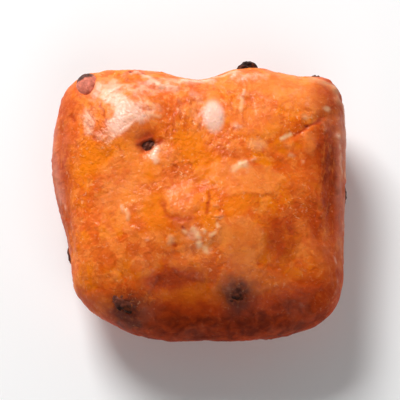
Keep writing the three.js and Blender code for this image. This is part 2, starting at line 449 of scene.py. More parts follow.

# Thick glaze, cracks and dark marks, with painted highlights and painted shade among them, by tone: start,
# end, width, rise and amount.
DEPOSIT_ROWS: dict[Tone, tuple[tuple, ...]] = {
    # Milk: thick glaze, with painted highlights on small ridges and bumps and painted highlight lines down
    # the right and left walls.
    Tone.MILK_AND_SHEEN: (
        ((-5.4, 34.4), (3.6, 35.4), 1.6, 0.6, 0.8),
        ((4.0, 37.2), (11.0, 38.4), 1.2, 0.35, 0.6),
        ((10.5, 37.0), (19.5, 36.6), 2.4, 0.2, 0.5),
        ((-13.0, 10.3), (-13.8, 7.6), 1.9, 0.6, 1.0),
        ((13.2, 5.4), (17.0, 7.2), 1.0, 0.25, 0.5),
        ((12.9, 28.0), (13.3, 31.4), 0.7, 0.3, 0.6),
        ((25.2, 13.2), (26.2, 12.4), 0.8, 0.2, 0.5),
        ((11.2, 17.7), (11.4, 18.0), 1.5, 0.35, 0.6),
        ((-23.3, -7.4), (-22.8, -9.4), 0.7, 0.2, 0.5),
        ((-15.8, -17.8), (-15.8, -17.8), 1.0, 0.3, 0.7),
        ((4.4, -7.8), (4.9, -8.2), 0.9, 0.35, 0.6),
        ((4.7, -12.2), (6.0, -11.6), 0.8, 0.35, 0.6),
        ((-17.0, 36.2), (-12.4, 32.2), 1.2, 0.5, 0.85),
        ((-12.4, 32.2), (-7.4, 31.2), 1.0, 0.35, 0.6),
        ((-22.6, 37.2), (-18.4, 37.4), 1.1, 0.3, 0.8),
        ((43.6, 30, 5.5), (44.4, 19, 3), 1.6, 0.3, 0.6),
        ((44.8, 8, 3.5), (45, -1, 5), 1.3, 0.3, 0.6),
        ((44.6, -8, 1.5), (44, -20, 3.5), 1.2, 0.3, 0.5),
        ((42.2, 19, 9), (43, 8, 7), 1.0, 0.2, 0.65),
        ((43, 6, 7.6), (43, -4, 8.2), 0.8, 0.2, 0.5),
        ((40.9, -6, 10.5), (40.3, -15, 10), 0.6, 0.3, 0.5),
        ((40.6, -16, 9.5), (41.4, -32, 5), 0.8, 0.3, 0.6),
        ((-41.6, 4, 5), (-39.8, -10, 7), 0.9, 0.25, 0.5),
    ),
    # Toast: dark marks along cracks, creases and dips, browned and also painted shade in the dips.
    Tone.TOAST_AND_SHADE: (
        ((-8, 38.6, 12.5), (6, 39.6, 11.5), 1.0, -0.1, 0.6),
        # painted shade round the face's pit
        ((-18.6, 13.6), (-14.2, 15.2), 1.8, -0.1, 0.25),
        ((-12.0, 12.9), (-11.8, 13.1), 1.2, -0.15, 0.6),
        ((28.6, 16.0), (33.0, 19.2), 0.8, -0.28, 0.6),
        ((33.0, 19.2), (37.2, 22.8), 0.7, -0.22, 0.5),
        ((-8.2, -19.8), (-7.6, -19.9), 0.8, -0.15, 0.5),
        ((-5.0, -14.6), (-4.6, -14.9), 0.7, -0.15, 0.6),
        ((2.3, -4.4), (2.8, -7.0), 0.8, -0.14, 0.45),
        ((2.4, -7.6), (2.0, -10.6), 0.9, -0.14, 0.45),
        ((-11.4, -6.0), (-9.4, -11.0), 1.3, -0.08, 0.3),
        ((-8.4, -11.8), (-2.4, -12.6), 1.2, -0.08, 0.35),
        ((-3.2, 5.6), (-2.6, 5.2), 0.5, -0.2, 0.5),
        ((-7.8, 5.4), (-7.3, 4.6), 0.5, -0.2, 0.5),
        ((-30.3, 26.4), (-27.7, 19.6), 0.45, -0.25, 0.5),
        ((-33.2, 23.4), (-31.4, 18.6), 0.4, -0.2, 0.4),
        ((-32.4, 15.8), (-30.4, 14.2), 0.4, -0.2, 0.4),
        ((-19.4, 24.2), (-15.0, 22.7), 0.4, -0.25, 0.4),
        ((-21.4, 39.2), (-21.2, 38.2), 0.7, -0.5, 0.9),
        ((-17.6, 37.4), (-16.8, 36.6), 0.7, -0.2, 0.6),
        ((-23.0, 35.0), (-12.0, 30.2), 0.9, -0.3, 0.3),
        ((-41.6, 12.6, 5.5), (-41.2, 9.2, 6.5), 0.9, -0.5, 0.75),
        ((-39.2, 24.6), (-38.6, 22.6), 0.8, -0.2, 0.4),
        ((41.6, -6, 9.5), (41.2, -12, 9.5), 0.5, -0.3, 0.5),
        ((-41.4, 26, 8), (-41, 4, 8), 1.4, -0.1, 0.3),
    ),
    # Cream: beads of glaze that are also painted highlights on small ridges and bumps, and the pale crust
    # chip at the far right corner.
    Tone.CREAM_AND_HIGHLIGHT: (
        ((10.0, 3.5), (13.6, 5.6), 1.2, 0.14, 0.6),
        ((12.6, 23.8), (12.8, 28.0), 0.65, 0.27, 0.56),
        ((24.5, 14.3), (27.4, 16.7), 0.6, 0.12, 0.85),
        ((38.4, 25.8), (38.8, 26.4), 0.8, 0.12, 0.8),
        ((31.8, 22.2), (32.0, 22.4), 1.0, 0.1, 0.4),
        ((15.8, 12.0), (18.2, 12.1), 2.0, 0.08, 0.35),
        ((27.2, 9.9), (28.2, 9.6), 0.6, 0.1, 0.35),
        ((30.9, 8.2), (31.0, 7.8), 0.6, 0.1, 0.35),
        ((-21.9, -9.1), (-21.3, -11.2), 0.9, 0.24, 0.52),
        ((-9.0, -17.4), (-8.6, -18.6), 1, 0.21, 0.45),
        ((-4.4, -16.0), (-3.9, -16.3), 0.8, 0.2, 0.6),
        ((-2.2, -15.4), (-1.8, -15.6), 0.7, 0.2, 0.7),
        ((-0.8, -16.8), (-0.6, -17.4), 0.9, 0.2, 0.85),
        ((-0.4, -19.4), (-0.1, -20.0), 1.0, 0.2, 0.85),
        ((1.5, -20.8), (1.8, -21.6), 0.9, 0.2, 0.7),
        ((1.2, -16.0), (1.4, -16.3), 0.8, 0.2, 0.75),
        ((3.6, -16.8), (4.2, -16.4), 0.9, 0.2, 0.8),
        ((4.7, -14.2), (4.9, -14.6), 0.7, 0.16, 0.7),
        ((-16.0, 26.0), (-13.8, 23.6), 0.7, 0.18, 0.42),
        ((-15.8, 21.8), (-12.4, 20.9), 0.9, 0.21, 0.49),
        ((35.0, 37.0), (41.4, 34.4), 1.5, 0.5, 0.35),
        ((41.4, 34.4), (42.4, 30.0), 1.3, 0.4, 0.3),
    ),
    Tone.UNDER_AND_SHADE: (
        ((38.2, 35.6), (40.6, 35.2), 0.5, -0.3, 0.35),
        ((-24.2, -38.4), (-18.2, -40.6), 1.3, -0.25, 0.8),
        # painted shade down the crease of the right wall
        ((41.4, 20, 10), (42, -18, 9.4), 1.8, -0.15, 0.3),
    ),
    # Cloud: pale glaze bands down the walls, partly painted sheen along the walls' edges.
    Tone.CLOUD_AND_SHEEN: (
        ((44.2, 21, 4.5), (44.8, 9, 1.5), 2.2, 0.2, 0.4),
        ((45, 2, 2), (44.8, -9, 3.5), 2.0, 0.2, 0.45),
        ((44.9, 0, -1), (45, -3, -7), 1.6, 0.2, 0.3),
        ((42.6, 24, 8), (43.4, -16, 7), 2.4, 0.1, 0.2),
        ((-43.4, 24, 4), (-42.2, 0, 5), 2.6, 0.2, 0.32),
    ),
}

DEPOSITS = tuple(Deposit(tone, *row) for tone, rows in DEPOSIT_ROWS.items() for row in rows)

# Patches of the face, by tone: middle, half sizes, turn, amount, and some with edge and rise.
PATCH_ROWS: dict[Tone, tuple[tuple, ...]] = {
    # Milk: the painted highlight patch on the far left of the face over whiter glaze, painted sheen along
    # the far rim, and painted highlights on the pale cluster and folds of the middle.
    Tone.MILK_AND_SHEEN: (
        ((-23.8, 25.6), (8.6, 2.9), -38, 1.0, 0.4),
        ((-20.2, 22.2), (4.2, 3.0), 4, 1.0, 0.65),
        ((-23.8, 18.6), (3.0, 3.2), 28, 1.0, 0.7),
        ((-27.8, 16.2), (3.2, 2.2), 30, 0.8, 0.6),
        ((-33.8, 20.4), (2.6, 5.0), 16, 0.75, 0.5),
        ((-21, 29.3), (8.5, 3.6), -14, 0.4, 0.3),
        ((-14.5, 24), (4.5, 2.5), -30, 0.35, 0.4),
        ((-13, 32), (12, 2.6), -6, 0.35, 0.5),
        ((-4, 30), (12, 5), 0, 0.22, 0.6),
        ((24, 30), (12, 6), -10, 0.14, 0.6),
        ((-27, 33), (5, 2.4), -20, 0.3, 0.5),
        ((-33, 31.4), (4.6, 2.8), -35, 0.45, 0.6),
        ((-0.6, 22), (2.4, 6.5), 0, 0.4, 0.4),
        ((0.6, -19.6), (4.4, 4.6), 0, 0.34, 0.6),
        ((-3.4, -16.4), (3.4, 2.2), 0, 0.25, 0.6),
        ((12.4, 3.2), (4, 2.4), 30, 0.35, 0.5),
        ((-25.5, 21.5), (8.5, 7.5), 0, 0.28, 0.6),
    ),
    Tone.DEEP: (
        ((-29.4, 21.4), (2.6, 2.8), 0, 0.7, 0.5),
        ((-3.2, 12), (4.8, 6.0), 0, 1.0, 0.35),
        ((-32, 8), (5, 5), 0, 0.9, 0.4),
        ((-16, 3.5), (4, 3.5), 0, 0.8, 0.4),
        ((-13, -9.5), (4.5, 6), 10, 1.0, 0.3),
        ((2.5, 5.5), (4.5, 4), 0, 0.8, 0.4),
        ((3.4, -8.5), (2.4, 6.5), 0, 0.9, 0.4),
        ((11.5, -7.5), (4, 4), 0, 0.7, 0.4),
        ((-4, -35.5), (9, 4.5), 0, 0.8, 0.6),
    ),
    # Cloud: the brightest part of the painted highlight patch.
    Tone.CLOUD_AND_SHEEN: (
        ((-21.4, 23.4), (5.2, 2.6), -24, 0.5, 0.7),
        ((-24.2, 18.8), (3.2, 2.8), 28, 0.55, 0.7),
        ((-33.6, 20.6), (1.8, 3.6), 16, 0.25, 0.7),
    ),
    Tone.STREAK: (
        ((-32.5, 20), (4.2, 8), 20, 0.8, 0.5),
        ((-24.5, 20), (8, 7), 0, 0.35, 0.4),
        ((-17, 25), (6, 5), 0, 0.5, 0.4),
    ),
    Tone.FLOW: (
        ((-8.2, 13.5), (2.8, 5.5), 0, 0.9, 0.4),
        ((-4, 22.5), (6, 8), 0, 0.8, 0.4),
        ((13, 26), (5, 7), 0, 0.7, 0.4),
        ((39, 0), (4, 26), 0, 0.5, 0.5),
        ((-40.5, 3), (4, 26), 0, 0.45, 0.5),
    ),
    Tone.FILM: (
        ((14.5, 0), (9.5, 5), 6, 0.9, 0.18),
        ((12, -19), (6.5, 6.5), 0, 0.9, 0.25),
        ((27, 31.5), (13, 5.6), -12, 0.8, 0.35),
        ((13, 34), (9, 4), 0, 0.5, 0.4),
        ((17, 21), (7, 6), 0, 0.45, 0.3),
        ((6, 3), (4, 3), 30, 0.6, 0.25),
        ((-24, 3), (6.5, 5.5), 0, 0.5, 0.25),
        ((-24.5, -5.5), (5, 4), 0, 0.45, 0.25),
        ((-11, 9), (4, 3), 0, 0.5, 0.3),
        ((-5.2, -6.2), (5.4, 5.3), 0, 0.5, 0.25, 0.35),
    ),
    Tone.SALMON: (
        ((-9, 3), (4.5, 5), 0, 0.7, 0.3),
        ((-31.5, 33), (8, 4), -20, 0.6, 0.4),
        ((10, 10.5), (5, 3.6), 0, 0.6, 0.3),
        ((30, 3), (5, 9), 0, 0.5, 0.4),
        ((32, -14), (2.4, 7), 0, 0.8, 0.4),
        ((-20, -21), (18, 3.5), 0, 0.5, 0.5),
    ),
    # Toast: browned patches, and painted shade on the right wall, along the near edge and round the face's
    # pit, with a painted shadow on the right of the face.
    Tone.TOAST_AND_SHADE: (
        # a painted shadow on the right of the face
        ((24, -16.5), (5.4, 7.5), 0, 0.42, 0.5),
        ((29, -5), (4, 7), 10, 0.34, 0.6),
        ((34.5, -9), (2.2, 7), 0, 0.34, 0.5),
        ((-7, -15.5), (7, 3.2), 0, 0.16, 0.5),
        # painted shade on the right wall, over browning
        ((39.2, 5), (3.0, 17), 4, 0.52, 0.6),
        ((35.5, 6), (3.6, 11), 0, 0.2, 0.6),
        ((10, 8.8), (5.5, 1.8), 0, 0.2, 0.6),
        # painted shade along the near edge, over browning
        ((-7, -28.2), (10, 3.2), 0, 0.35, 0.5),
        ((3, -41), (20, 4.5), 0, 0.6, 0.6),
        ((25, -38.5), (16, 6), 4, 0.4, 0.6),
        ((33, -33), (7, 6), 0, 0.3, 0.6),
        ((-9, -29.5), (7, 2.6), -4, 0.25, 0.6),
        # painted shade round the face's pit
        ((-16.8, 13.8), (4.6, 3.8), -20, 0.26, 0.8),
        ((-15.9, 12.2), (2.8, 2.4), 0, 0.35, 0.6),
        ((-13, -9.5), (3.5, 5), 10, 0.16, 0.4),
        ((-31, -3.5), (3.4, 2.6), 0, 0.16, 0.4),
        ((39.5, 34.5), (5, 5), 0, 0.14, 0.6),
    ),
    Tone.UNDER_AND_SHADE: (
        # painted shade in the face's pit
        ((-15.7, 12.1), (2.2, 1.8), 0, 0.6, 0.5),
        ((-20.6, -35.6), (6.4, 4.4), -12, 0.7, 0.7),
        ((-21.8, -36.4), (3.6, 2.8), -20, 0.8, 0.6),
        ((11.4, -33.6), (5.2, 4.8), 20, 0.75, 0.6),
        ((11.2, -33.4), (3.2, 3.4), 0, 0.6, 0.6),
    ),
    Tone.GRAIN: (
        ((-8, 14.5), (3.4, 6.5), 0, 1.0, 0.4),
        ((-4.5, 6), (5.4, 4), 0, 1.0, 0.4),
        ((-2, 12), (5, 7), 0, 0.8, 0.4),
        ((-4, 20), (4, 7), 0, 0.6, 0.4),
        ((4, -9), (3, 8), 0, 0.8, 0.4),
        ((-32, 17), (5, 9), 0, 0.5, 0.4),
        ((10, 26), (5, 5), 0, 0.5, 0.4),
        ((-29, 7), (7, 7), 0, 0.4, 0.4),
        ((12, 14), (8, 6), 0, 0.4, 0.4),
    ),
}

PATCHES = tuple(Patch(tone, *row) for tone, rows in PATCH_ROWS.items() for row in rows)


# ---- Meshes ----


def mesh_object(
    name: str, points: Array, faces: Array, attributes: dict[str, Array] | None = None
) -> bpy.types.Object:
    """Make a smooth mesh object from arrays.

    Args:
        name: Name of the object.
        points: Corners in metres, one a row.
        faces: Corner numbers, one face a row, all with the same count.
        attributes: Values for each corner, by name.

    Returns:
        The object, linked to the scene, at the origin.
    """
    mesh = bpy.data.meshes.new(name)
    count, sides = faces.shape
    mesh.vertices.add(len(points))
    mesh.vertices.foreach_set("co", points.astype(np.float32).ravel())
    mesh.loops.add(count * sides)
    mesh.loops.foreach_set("vertex_index", faces.astype(np.int32).ravel())
    mesh.polygons.add(count)
    mesh.polygons.foreach_set("loop_start", np.arange(0, count * sides, sides, dtype=np.int32))
    mesh.update(calc_edges=True)
    mesh.polygons.foreach_set("use_smooth", np.ones(count, bool))
    for attribute, values in (attributes or {}).items():
        layer = mesh.attributes.new(attribute, "FLOAT", "POINT")
        layer.data.foreach_set("value", values.astype(np.float32))
    mesh.validate()
    made = bpy.data.objects.new(name, mesh)
    bpy.context.scene.collection.objects.link(made)
    return made


def cube_grid(across: int, deep: int, high: int, lean: float) -> tuple[Array, Array]:
    """A closed grid over a cube from -1 to 1, as directions and four-cornered faces.

    Lines across a face run by tan(s pi / 4), so that they stay evenly spaced on a round form.
    Lines up the walls run evenly, with `lean` of them moved towards the top.

    Args:
        across: Cells along X.
        deep: Cells along Y.
        high: Cells along Z.
        lean: Share by which the wall's lines gather towards the top.

    Returns:
        The grid's points, one a row, and the faces' corner numbers, turned outwards.
    """
    counts = np.array([across, deep, high])
    faces = []
    for axis in range(3):
        first, second = (axis + 1) % 3, (axis + 2) % 3
        cells = np.meshgrid(np.arange(counts[first]), np.arange(counts[second]), indexing="ij")
        i, j = (steps.ravel() for steps in cells)
        for side in (0, 1):
            corners = np.zeros((i.size, 4, 3), np.int64)
            corners[:, :, axis] = side * counts[axis]
            for corner, (di, dj) in enumerate(((0, 0), (1, 0), (1, 1), (0, 1))):
                corners[:, corner, first] = i + di
                corners[:, corner, second] = j + dj
            faces.append(corners if side else corners[:, ::-1])
    corners = np.concatenate(faces).reshape(-1, 3)
    code = corners @ np.array([1, across + 1, (across + 1) * (deep + 1)])
    _, first_use, numbers = np.unique(code, return_index=True, return_inverse=True)
    steps = corners[first_use] / counts * 2 - 1
    grid = np.tan(steps * math.pi / 4)
    rise = (steps[:, 2] + 1) / 2
    grid[:, 2] = 2 * (rise + lean * rise * (1 - rise)) - 1
    return grid, numbers.reshape(-1, 4)


# ---- Finishes ----


class Nodes:
    """A material's node tree, with short ways to add and join its nodes."""

    def __init__(self, name: str) -> None:
        """Start a material of this name with a Principled surface."""
        self.material = bpy.data.materials.new(name)
        self.material.use_nodes = True
        self.tree = self.material.node_tree
        self.tree.nodes.clear()
        self.surface = self.add("ShaderNodeBsdfPrincipled")
        output = self.add("ShaderNodeOutputMaterial")
        self.tree.links.new(self.surface.outputs[0], output.inputs[0])

    def add(self, kind: str, **settings: object) -> bpy.types.Node:
        """Add a node and set its properties."""
        node = self.tree.nodes.new(kind)
        for key, value in settings.items():
            setattr(node, key, value)
        return node

    def feed(self, socket: Socket, value: object) -> None:
        """Link a socket to another, or set its value."""
        if isinstance(value, Socket):
            self.tree.links.new(value, socket)
        elif isinstance(value, tuple) and len(value) == 3 and socket.type == "RGBA":
            socket.default_value = (*value, 1)
        else:
            socket.default_value = value

    def attribute(self, name: str) -> Socket:
        """The value of a mesh's attribute."""
        return self.add("ShaderNodeAttribute", attribute_name=name).outputs["Fac"]

    def maths(self, operation: str, *values: object, clamp: bool = False) -> Socket:
        """A sum or other operation on numbers."""
        node = self.add("ShaderNodeMath", operation=operation, use_clamp=clamp)
        for socket, value in zip(node.inputs, values):
            self.feed(socket, value)
        return node.outputs[0]

    def times(self, first: object, second: object, clamp: bool = False) -> Socket:
        """The product of two numbers."""
        return self.maths("MULTIPLY", first, second, clamp=clamp)

    def dress(self, values: dict[str, object]) -> None:
        """Link or set the surface's inputs, by name."""
        for name, value in values.items():
            self.feed(self.surface.inputs[name], value)

    def cell(
        self, size: float, shift: float, turn: float = 0, stretch: Triple = (1, 1, 1)
    ) -> Socket:
        """Object coordinates in cells of a size in metres, moved by `shift` cells.

        The cells are turned about Z by `turn` degrees and stretched along their own axes.
        """
        moved = self.add("ShaderNodeMapping", vector_type="TEXTURE")
        self.feed(moved.inputs["Vector"], self.add("ShaderNodeTexCoord").outputs["Object"])
        self.feed(moved.inputs["Location"], Vector((shift, shift * 0.7, -shift)) * size)
        self.feed(moved.inputs["Rotation"], Vector((0, 0, math.radians(turn))))
        self.feed(moved.inputs["Scale"], Vector(stretch) * size)
        return moved.outputs[0]

    def noise(
        self,
        size: float,
        detail: float = 3,
        warp: float = 0,
        shift: float = 0,
        turn: float = 0,
        stretch: Triple = (1, 1, 1),
    ) -> Socket:
        """Noise about 0.5, with grains of a size in metres, turned and stretched as cells are."""
        node = self.add("ShaderNodeTexNoise")
        self.feed(node.inputs["Vector"], self.cell(size, shift, turn, stretch))
        self.feed(node.inputs["Scale"], 1.0)
        self.feed(node.inputs["Detail"], detail)
        self.feed(node.inputs["Roughness"], 0.55)
        self.feed(node.inputs["Distortion"], warp)
        return node.outputs["Fac"]

    def dots(self, size: float, radius: float, shift: float = 0) -> Socket:
        """Scattered soft dots, one a cell: 1 in the middle of each, 0 past its radius in cells."""
        node = self.add("ShaderNodeTexVoronoi", feature="F1")
        self.feed(node.inputs["Vector"], self.cell(size, shift))
        self.feed(node.inputs["Scale"], 1.0)
        return self.ramp(node.outputs["Distance"], radius, radius * 0.35)

    def pebbles(self, size: float, shift: float = 0) -> Socket:
        """Rounded bumps of a width in metres, packed side by side: 1 at their tops."""
        way = self.add("ShaderNodeTexNoise")
        self.feed(way.inputs["Vector"], self.cell(size * 1.6, shift + 3))
        self.feed(way.inputs["Scale"], 1.0)
        bent = self.add("ShaderNodeVectorMath", operation="MULTIPLY_ADD")
        self.feed(bent.inputs[0], way.outputs["Color"])
        self.feed(bent.inputs[1], Vector((0.9, 0.9, 0.9)))
        self.feed(bent.inputs[2], self.cell(size, shift))
        node = self.add("ShaderNodeTexVoronoi", feature="F1")
        self.feed(node.inputs["Vector"], bent.outputs[0])
        self.feed(node.inputs["Scale"], 1.0)
        return self.maths("SUBTRACT", 1.0, node.outputs["Distance"])

    def share(self, value: object, low: float, high: float, most: float) -> Socket:
        """A smooth step of a value, from 0 at low to `most` at high."""
        return self.times(self.ramp(value, low, high), most)

    def ramp(self, value: object, low: float, high: float) -> Socket:
        """A smooth step of a value, from 0 at low to 1 at high, in either direction."""
        node = self.add("ShaderNodeMapRange", interpolation_type="SMOOTHSTEP")
        swap = low > high
        ends = (high, low, 1.0, 0.0) if swap else (low, high, 0.0, 1.0)
        for name, number in zip(("From Min", "From Max", "To Min", "To Max"), ends):
            self.feed(node.inputs[name], number)
        self.feed(node.inputs["Value"], value)
        return node.outputs["Result"]

    def mix(self, share: object, first: object, second: object) -> Socket:
        """A mix of two colours."""
        node = self.add("ShaderNodeMix", data_type="RGBA")
        self.feed(node.inputs[0], share)
        self.feed(node.inputs[6], first)
        self.feed(node.inputs[7], second)
        return node.outputs[2]

    def bump(self, height: object, depth: float, under: object = None) -> Socket:
        """A normal from a height in units of `depth` metres, on top of another normal."""
        node = self.add("ShaderNodeBump")
        self.feed(node.inputs["Strength"], 1.0)
        self.feed(node.inputs["Distance"], depth)
        self.feed(node.inputs["Height"], height)
        if under is not None:
            self.feed(node.inputs["Normal"], under)
        return node.outputs[0]


@dataclass(frozen=True)
class CrustFinish:
    """Fried crust under a clear, glossy sugar glaze that turns milky where it lies thick. Its colour also
    holds painted highlights, sheen and glints, and painted shade and a painted shadow.

    Colours are linear. The mesh's attributes, one for each tone, say where each shows.
    """

    gold: Triple = (0.90, 0.205, 0.002)
    orange: Triple = (0.78, 0.112, 0.003)
    salmon: Triple = (0.82, 0.145, 0.020)
    apricot: Triple = (0.96, 0.270, 0.045)
    burnt: Triple = (0.60, 0.082, 0.005)
    # brown_and_shade and dark: browned crust, and also painted shade on the near edge, the walls and the
    # sides
    brown_and_shade: Triple = (0.50, 0.050, 0.003)
    dark: Triple = (0.14, 0.012, 0.002)
    # milky glaze, also the colour of painted highlights and sheen
    milky_sheen: Triple = (0.95, 0.52, 0.34)
    # cream glaze, also the colour of painted highlights and painted glints
    cream_and_highlight: Triple = (1.0, 0.58, 0.30)
    # dark as over a raisin, and painted shade in the face's pit and down the right wall
    under: Triple = (0.095, 0.020, 0.012)
    # pale glaze, also the colour of painted highlights and sheen
    cloudy_sheen: Triple = (0.95, 0.56, 0.43)

    def mottled(self, n: Nodes, tone: Sockets) -> Socket:
        """The crust's colour: gold and orange, mottled pink, pale and burnt, under its smooth film."""
        colour = n.mix(n.ramp(n.noise(0.0070, 3, 0.6), 0.40, 0.60), self.gold, self.orange)
        colour = n.mix(n.share(n.noise(0.0060, 3, 0.4, 5.0), 0.50, 0.64, 0.5), colour, self.salmon)
        colour = n.mix(tone[Tone.SALMON], colour, self.salmon)
        colour = n.mix(n.share(n.noise(0.0045, 4, 0.6, 8.0), 0.50, 0.58, 0.55), colour, self.apricot)
        colour = n.mix(n.share(n.noise(0.0036, 4, 0.5, 3.1), 0.51, 0.62, 0.5), colour, self.burnt)
        colour = n.mix(n.times(tone[Tone.DEEP], 0.85), colour, self.gold)
        veil = n.maths("MULTIPLY_ADD", n.ramp(n.noise(0.0024, 4, 0.6, 8.4), 0.35, 0.7), 0.4, 0.4)
        return n.mix(n.times(tone[Tone.FILM], veil), colour, self.apricot)

    def toast_and_shade_amount(self, n: Nodes, tone: Sockets) -> Socket:
        """How browned a place is and how darkened by painted shade, broken up by smudges where it is
        darkened at all.
        """
        toast_and_shade = tone[Tone.TOAST_AND_SHADE]
        smudge = n.maths("MULTIPLY_ADD", n.noise(0.0036, 4, 0.5, 6.0), 0.9, -0.45)
        return n.maths("ADD", toast_and_shade, n.times(n.times(toast_and_shade, 1.3, clamp=True), smudge))

    def toasted_and_shaded(self, n: Nodes, colour: object, toast_and_shade: object, under: object) -> Socket:
        """A colour, browned and darkened by painted shade as its toast share says, and darkened over
        raisins and by painted shade in the face's pit and down the right wall.
        """
        colour = n.mix(n.ramp(toast_and_shade, 0.0, 0.6), colour, self.brown_and_shade)
        colour = n.mix(n.ramp(toast_and_shade, 0.45, 1.05), colour, self.dark)
        return n.mix(under, colour, self.under)

    def drawn_out(self, n: Nodes, colour: object, tone: Sockets, strokes: object) -> Socket:
        """A colour with burnt strokes, and with pale and burnt runs where the glaze flowed."""
        colour = n.mix(n.times(n.ramp(strokes, 0.52, 0.36), tone[Tone.STREAK]), colour, self.burnt)
        flow = n.noise(0.0017, 3, 0.6, 2.0, STROKE_TURNS[Tone.FLOW], (3, 1, 3))
        colour = n.mix(n.times(n.share(flow, 0.50, 0.68, 0.6), tone[Tone.FLOW]), colour, self.apricot)
        return n.mix(n.times(n.share(flow, 0.50, 0.34, 0.7), tone[Tone.FLOW]), colour, self.burnt)

    def milk_and_sheen_amount(self, n: Nodes, tone: Sockets, strokes: object) -> Socket:
        """How much milky glaze and painted sheen shows: hazy, and parted by the strokes."""
        haze = n.maths("MULTIPLY_ADD", n.ramp(n.noise(0.0017, 4, 0.8, 2.4), 0.30, 0.62), 0.45, 0.55)
        veins = n.times(n.ramp(strokes, 0.56, 0.40), n.times(tone[Tone.STREAK], 0.8))
        haze = n.times(haze, n.maths("SUBTRACT", 1.0, veins))
        return n.times(tone[Tone.MILK_AND_SHEEN], haze, clamp=True)

    def speckled(
        self, n: Nodes, colour: object, bare: object, speckle: object, pebbles: object
    ) -> Socket:
        """A colour with pale and burnt specks, painted shade in the gaps between pebbles, and painted
        glints.
        """
        colour = n.mix(n.times(n.share(speckle, 0.54, 0.66, 0.6), bare), colour, self.apricot)
        colour = n.mix(n.times(n.share(speckle, 0.46, 0.32, 0.6), bare), colour, self.burnt)
        # Painted shade: darker in the gaps between pebbles.
        colour = n.mix(n.times(n.share(pebbles, 0.45, 0.22, 0.35), bare), colour, self.burnt)
        # Painted glints: small pale dots in cream colour.
        painted_glints = n.times(n.share(n.noise(0.0012, 2, 0.4, 11.0), 0.60, 0.70, 0.6), bare)
        return n.mix(painted_glints, colour, self.cream_and_highlight)

    def material(self) -> bpy.types.Material:
        """The node material."""
        n = Nodes("glazed_crust")
        tone = {tone: n.attribute(tone.value) for tone in Tone}
        toast_and_shade = self.toast_and_shade_amount(n, tone)
        strokes = n.noise(0.0011, 3, 0.6, 1.0, STROKE_TURNS[Tone.STREAK], (2.5, 1, 2))
        colour = self.toasted_and_shaded(n, self.mottled(n, tone), toast_and_shade, tone[Tone.UNDER_AND_SHADE])
        # Milky glaze mixed with painted highlights and painted sheen.
        milk_and_sheen = self.milk_and_sheen_amount(n, tone, strokes)
        colour = n.mix(milk_and_sheen, self.drawn_out(n, colour, tone, strokes), self.milky_sheen)
        pebbles = n.pebbles(0.0014, 2.0)
        speckle = n.noise(0.0015, 3, 0.8, 7.0)
        cover = n.maths("ADD", tone[Tone.CREAM_AND_HIGHLIGHT], n.times(tone[Tone.FILM], 0.7))
        rough = n.times(tone[Tone.GRAIN], n.maths("SUBTRACT", 1.0, cover, clamp=True))
        bare = n.times(rough, n.maths("SUBTRACT", 1.0, n.maths("ADD", milk_and_sheen, toast_and_shade), clamp=True))
        bare = n.times(bare, n.maths("MULTIPLY_ADD", tone[Tone.DEEP], -0.75, 1.0))
        colour = self.speckled(n, colour, bare, speckle, pebbles)
        # Pores: small pits, darkened by painted shade, most of all in the milky glaze and painted
        # highlight.
        shaded_pores = n.times(n.dots(0.0023, 0.22, 4.0), n.maths("MULTIPLY_ADD", milk_and_sheen, 0.8, 0.12))
        colour = n.mix(n.times(shaded_pores, 0.6), colour, self.burnt)
        # Cream glaze and painted highlights on small ridges and bumps.
        colour = n.mix(tone[Tone.CREAM_AND_HIGHLIGHT], colour, self.cream_and_highlight)
        # Pale glaze with painted highlights and sheen: the blister, the highlight patch and the wall
        # bands.
        colour = n.mix(tone[Tone.CLOUD_AND_SHEEN], colour, self.cloudy_sheen)
        reliefs = (
            n.times(pebbles, n.maths("MULTIPLY_ADD", rough, 0.09, 0.01)),
            n.times(speckle, n.maths("MULTIPLY_ADD", rough, 0.36, 0.16)),
            n.times(n.times(strokes, tone[Tone.STREAK]), 0.35),
            n.times(shaded_pores, -0.12),
        )
        height = reduce(lambda below, above: n.maths("ADD", below, above), reliefs)
        normal = n.bump(height, MM)
        shine = n.maths("MULTIPLY_ADD", n.maths("ADD", toast_and_shade, tone[Tone.DEEP]), -0.22, 0.24, clamp=True)
        n.dress({
            "Base Color": colour,
            "Normal": normal,
            "Roughness": 0.5,
            "Specular IOR Level": 0.04,
            "Subsurface Weight": 0.2,
            "Subsurface Radius": Vector((1.0, 0.32, 0.10)),
            "Subsurface Scale": 0.001,
            "Coat Weight": n.maths("MULTIPLY_ADD", milk_and_sheen, 0.6, shine, clamp=True),
            "Coat Roughness": 0.13,
            "Coat IOR": 1.45,
            "Coat Normal": normal,
        })
        return n.material


@dataclass(frozen=True)
class RaisinFinish:
    """A raisin's dark wrinkled skin, slightly glossy, with glaze over part of it."""

    skin: Triple = (0.020, 0.006, 0.003)
    warm: Triple = (0.13, 0.026, 0.008)
    glaze: Triple = (0.79, 0.21, 0.135)

    def material(self) -> bpy.types.Material:
        """The node material."""
        n = Nodes("raisin_skin")
        colour = n.mix(n.ramp(n.noise(0.0022, 3, 0.5), 0.42, 0.70), self.skin, self.warm)
        sugar = n.maths("MULTIPLY_ADD", n.ramp(n.noise(0.0012, 4, 0.6, 4.0), 0.3, 0.7), 0.4, 0.6)
        colour = n.mix(n.times(n.attribute("glaze"), sugar, clamp=True), colour, self.glaze)
        n.dress({
            "Base Color": colour,
            "Roughness": 0.42,
            "Specular IOR Level": 0.07,
            "Coat Weight": 0.05,
            "Coat Roughness": 0.25,
            "Normal": n.bump(n.noise(0.0007, 4, 0.6), 0.00025),
        })
        return n.material


@dataclass(frozen=True)
class BoardFinish:
    """The plain pale floor."""

    colour: Triple = (0.93, 0.93, 0.93)

    def material(self) -> bpy.types.Material:
        """The node material."""
        n = Nodes("pale_floor")
        n.dress({"Base Color": self.colour, "Roughness": 0.6, "Specular IOR Level": 0.1})
        return n.material


# ---- Raisins ----


